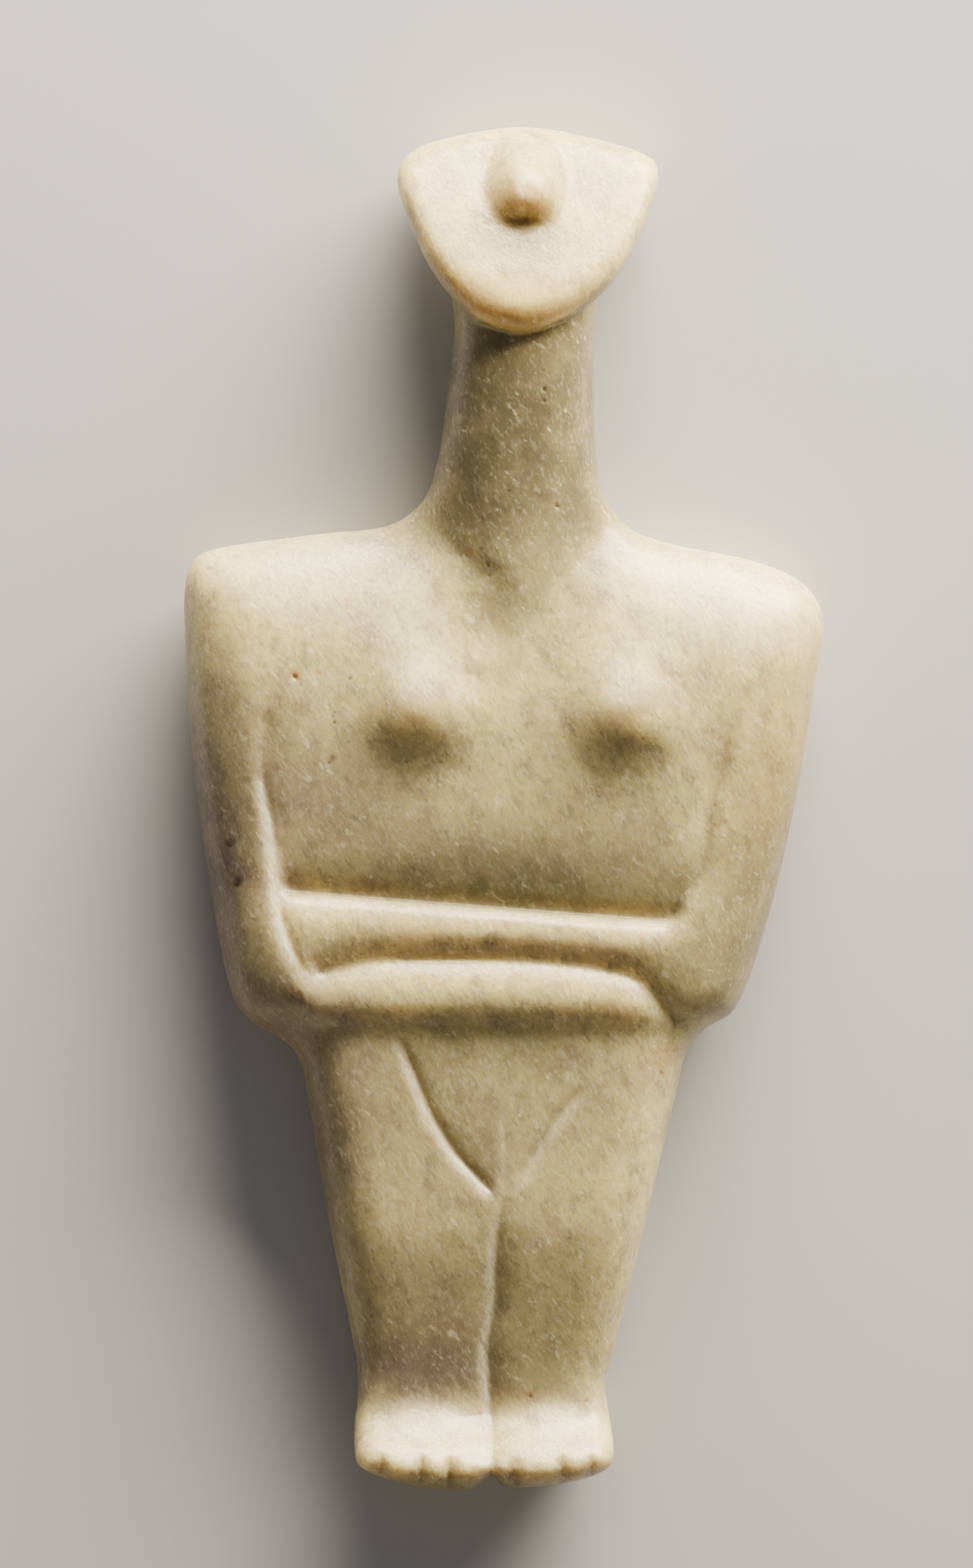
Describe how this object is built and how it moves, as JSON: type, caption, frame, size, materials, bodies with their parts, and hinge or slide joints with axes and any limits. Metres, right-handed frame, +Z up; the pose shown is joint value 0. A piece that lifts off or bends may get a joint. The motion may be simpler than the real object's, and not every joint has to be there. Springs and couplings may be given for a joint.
{
  "type": "cycladic figurine",
  "caption": "Flat marble figurine of a standing woman with folded arms, a tall neck and a shield-shaped head tilted back, lying on its back.",
  "frame": {"origin": "middle of the bounding box's bottom face, on the surface that the figurine lies on", "axes": "+Y from the toes to the crown, +Z up out of the figure's front, +X towards the figure's own left side"},
  "size_m": [0.1222, 0.26, 0.0309],
  "materials": {
    "marble": "abraded white marble with a warm cream patina, dull to satin"
  },
  "bodies": {
    "root": {"marble_figurine": "marble"}
  },
  "joints": []
}
